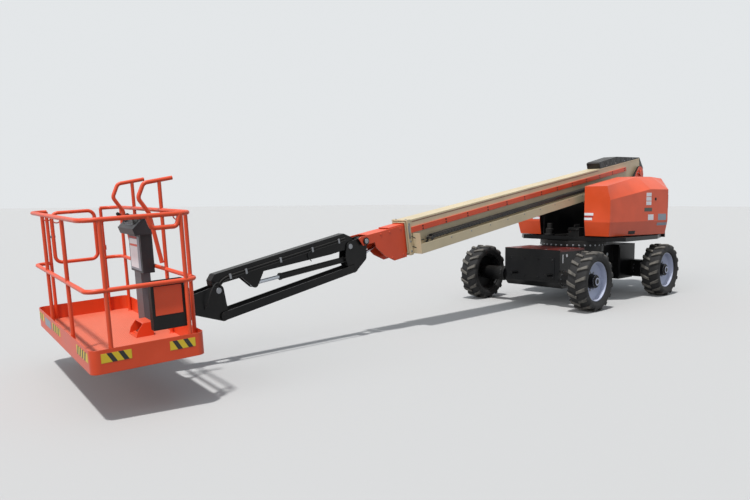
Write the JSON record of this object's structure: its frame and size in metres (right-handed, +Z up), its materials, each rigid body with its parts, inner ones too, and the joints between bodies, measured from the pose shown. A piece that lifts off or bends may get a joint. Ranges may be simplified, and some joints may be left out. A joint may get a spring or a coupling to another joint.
{
  "type": "telescopic boom lift",
  "caption": "Self-propelled telescopic boom lift with a jib: four wheels, slewing turntable with hinged hoods, nested boom and a railed basket that turns.",
  "frame": {"origin": "on the ground under the middle of the machine's box", "axes": "+X forward along the boom towards the basket, +Y to the machine's left, +Z up"},
  "size_m": [11.3647, 2.5318, 2.5313],
  "materials": {
    "orange_paint": "gloss orange paint",
    "cream_paint": "gloss cream paint",
    "black_paint": "satin black paint",
    "white_paint": "gloss white paint",
    "grey_paint": "satin grey paint",
    "tyre_rubber": "matt rubber",
    "chrome_rod": "polished",
    "black_plastic": "matt",
    "cast_black": "painted casting"
  },
  "bodies": {
    "chassis": {"chassis_frame": "black_paint", "drive_axle": "black_paint", "steer_axle": "black_paint", "steer_cylinder": "black_paint", "slew_ring": "black_paint"},
    "knuckle_left": {"knuckle_left": "black_paint"},
    "knuckle_right": {"knuckle_right": "black_paint"},
    "tie_rod": {"tie_rod": "black_paint"},
    "turntable": {"turntable_frame": "black_paint", "counterweight": "cast_black", "engine_block": "grey_paint", "tank": "black_paint"},
    "hood_left": {"hood_left": "orange_paint"},
    "hood_right": {"hood_right": "orange_paint"},
    "boom": {"boom_base": "cream_paint", "boom_rail": "orange_paint", "hose_tray": "cream_paint", "power_track": "black_plastic", "boom_cover": "black_plastic"},
    "boom_mid": {"boom_mid": "cream_paint"},
    "boom_fly": {"boom_fly": "orange_paint"},
    "lift_barrel": {"lift_barrel": "black_paint"},
    "lift_rod": {"lift_rod": "chrome_rod"},
    "level_bracket": {"level_bracket": "black_paint"},
    "level_barrel": {"level_barrel": "black_paint"},
    "level_rod": {"level_rod": "chrome_rod"},
    "jib_arm": {"jib_arm": "black_paint"},
    "lower_link": {"lower_link": "black_paint"},
    "jib_barrel": {"jib_barrel": "black_paint"},
    "jib_rod": {"jib_rod": "chrome_rod"},
    "platform_support": {"platform_support": "cast_black"},
    "platform": {"platform_mount": "cast_black", "platform_floor": "orange_paint", "toe_board": "orange_paint", "platform_rails": "orange_paint", "rail_hoops": "orange_paint", "console": "grey_paint", "console_column": "grey_paint", "storage_box": "black_plastic", "foot_switch": "orange_paint"},
    "gate": {"gate": "orange_paint"},
    "wheel_front_left": {"tyre_front_left": "tyre_rubber", "rim_front_left": "white_paint"},
    "wheel_front_right": {"tyre_front_right": "tyre_rubber", "rim_front_right": "white_paint"},
    "wheel_rear_left": {"tyre_rear_left": "tyre_rubber", "rim_rear_left": "white_paint"},
    "wheel_rear_right": {"tyre_rear_right": "tyre_rubber", "rim_rear_right": "white_paint"}
  },
  "joints": [
    {"name": "steer_left", "type": "hinge", "parent": "chassis", "child": "knuckle_left", "pos_m": [-4.46446, 0.86586, 0.46], "axis": [0, 0, 1], "range_deg": [-35, 35]},
    {"name": "steer_right", "type": "hinge", "parent": "chassis", "child": "knuckle_right", "pos_m": [-4.46446, -0.76414, 0.46], "axis": [0, 0, 1], "range_deg": [-35, 35]},
    {"name": "tie_rod_slide", "type": "slide", "parent": "chassis", "child": "tie_rod", "axis": [0, 1, 0], "range_m": [-0.1, 0.1]},
    {"name": "spin_front_left", "type": "hinge", "parent": "chassis", "child": "wheel_front_left", "pos_m": [-1.98046, 1.07086, 0.46], "axis": [0, 1, 0], "continuous": true},
    {"name": "spin_front_right", "type": "hinge", "parent": "chassis", "child": "wheel_front_right", "pos_m": [-1.98046, -0.96914, 0.46], "axis": [0, 1, 0], "continuous": true},
    {"name": "spin_rear_left", "type": "hinge", "parent": "knuckle_left", "child": "wheel_rear_left", "pos_m": [-4.46446, 1.07086, 0.46], "axis": [0, 1, 0], "continuous": true},
    {"name": "spin_rear_right", "type": "hinge", "parent": "knuckle_right", "child": "wheel_rear_right", "pos_m": [-4.46446, -0.96914, 0.46], "axis": [0, 1, 0], "continuous": true},
    {"name": "slew", "type": "hinge", "parent": "chassis", "child": "turntable", "pos_m": [-3.22246, 0.05086, 0.965], "axis": [0, 0, 1], "continuous": true},
    {"name": "hood_left_open", "type": "hinge", "parent": "turntable", "child": "hood_left", "pos_m": [-4.22246, 0.46686, 2.085], "axis": [1, 0, 0], "range_deg": [0, 65]},
    {"name": "hood_right_open", "type": "hinge", "parent": "turntable", "child": "hood_right", "pos_m": [-4.22246, -0.36514, 2.085], "axis": [-1, 0, 0], "range_deg": [0, 65]},
    {"name": "boom_lift", "type": "hinge", "parent": "turntable", "child": "boom", "pos_m": [-5.37246, 0.05086, 2.22], "axis": [0, -1, 0], "range_deg": [0, 82]},
    {"name": "boom_extend", "type": "slide", "parent": "boom", "child": "boom_mid", "axis": [0.9871, 0, -0.1599], "range_m": [0, 4.6]},
    {"name": "fly_extend", "type": "slide", "parent": "boom_mid", "child": "boom_fly", "axis": [0.9871, 0, -0.1599], "range_m": [0, 4.6]},
    {"name": "lift_barrel_swing", "type": "hinge", "parent": "turntable", "child": "lift_barrel", "pos_m": [-5.27246, 0.05086, 1.06], "axis": [0, -1, 0], "range_deg": [0, 54.25]},
    {"name": "lift_rod_stroke", "type": "slide", "parent": "lift_barrel", "child": "lift_rod", "axis": [0.923, 0, 0.3849], "range_m": [0, 1.1204]},
    {"name": "bracket_level", "type": "hinge", "parent": "boom_fly", "child": "level_bracket", "pos_m": [1.88915, 0.05086, 1.20799], "axis": [0, -1, 0], "range_deg": [-82.1, 0]},
    {"name": "level_barrel_swing", "type": "hinge", "parent": "boom_fly", "child": "level_barrel", "pos_m": [1.23748, 0.05086, 1.35], "axis": [0, -1, 0], "range_deg": [0, 7.58]},
    {"name": "level_rod_stroke", "type": "slide", "parent": "level_barrel", "child": "level_rod", "axis": [0.8833, 0, -0.4688], "range_m": [-0.2575, 0]},
    {"name": "jib_lift", "type": "hinge", "parent": "level_bracket", "child": "jib_arm", "pos_m": [2.10754, 0.05086, 1.15], "axis": [0, -1, 0], "range_deg": [-48.6, 81.4]},
    {"name": "lower_link_swing", "type": "hinge", "parent": "level_bracket", "child": "lower_link", "pos_m": [2.04754, 0.05086, 0.88], "axis": [0, -1, 0], "range_deg": [-48.7, 81.5]},
    {"name": "support_level", "type": "hinge", "parent": "jib_arm", "child": "platform_support", "pos_m": [3.93085, 0.05086, 0.78236], "axis": [0, -1, 0], "range_deg": [-81.5, 48.7]},
    {"name": "jib_barrel_swing", "type": "hinge", "parent": "level_bracket", "child": "jib_barrel", "pos_m": [2.13354, 0.05086, 0.993], "axis": [0, -1, 0], "range_deg": [-48.7, 81.5]},
    {"name": "jib_rod_stroke", "type": "slide", "parent": "jib_barrel", "child": "jib_rod", "axis": [0.9909, 0, -0.1345], "range_m": [-0.1095, 0.1821]},
    {"name": "platform_turn", "type": "hinge", "parent": "platform_support", "child": "platform", "pos_m": [4.27754, 0.05086, 0.475], "axis": [0.0645, 0, 0.9979], "range_deg": [-80.75, 99.25]},
    {"name": "gate_swing", "type": "hinge", "parent": "platform", "child": "gate", "pos_m": [4.60719, -1.13987, 1.35556], "axis": [0.0645, 0, 0.9979], "range_deg": [0, 90], "stiffness_Nm_per_rad": 1.2, "springref_deg": -40.11}
  ],
  "couplings": [
    {"joint": "steer_right", "follows": "steer_left", "ratio": 1},
    {"joint": "tie_rod_slide", "follows": "steer_left", "m_per_rad": -0.16},
    {"joint": "fly_extend", "follows": "boom_extend", "ratio": 1},
    {"joint": "lift_barrel_swing", "follows": "boom_lift", "ratio": 0.65909},
    {"joint": "lift_rod_stroke", "follows": "boom_lift", "m_per_rad": 0.78146},
    {"joint": "bracket_level", "follows": "boom_lift", "ratio": -1},
    {"joint": "level_barrel_swing", "follows": "boom_lift", "ratio": 0.09057},
    {"joint": "level_rod_stroke", "follows": "boom_lift", "m_per_rad": -0.17815},
    {"joint": "lower_link_swing", "follows": "jib_lift", "ratio": 1},
    {"joint": "support_level", "follows": "jib_lift", "ratio": -1},
    {"joint": "jib_barrel_swing", "follows": "jib_lift", "ratio": 1},
    {"joint": "jib_rod_stroke", "follows": "jib_lift", "m_per_rad": 0.12679}
  ]
}
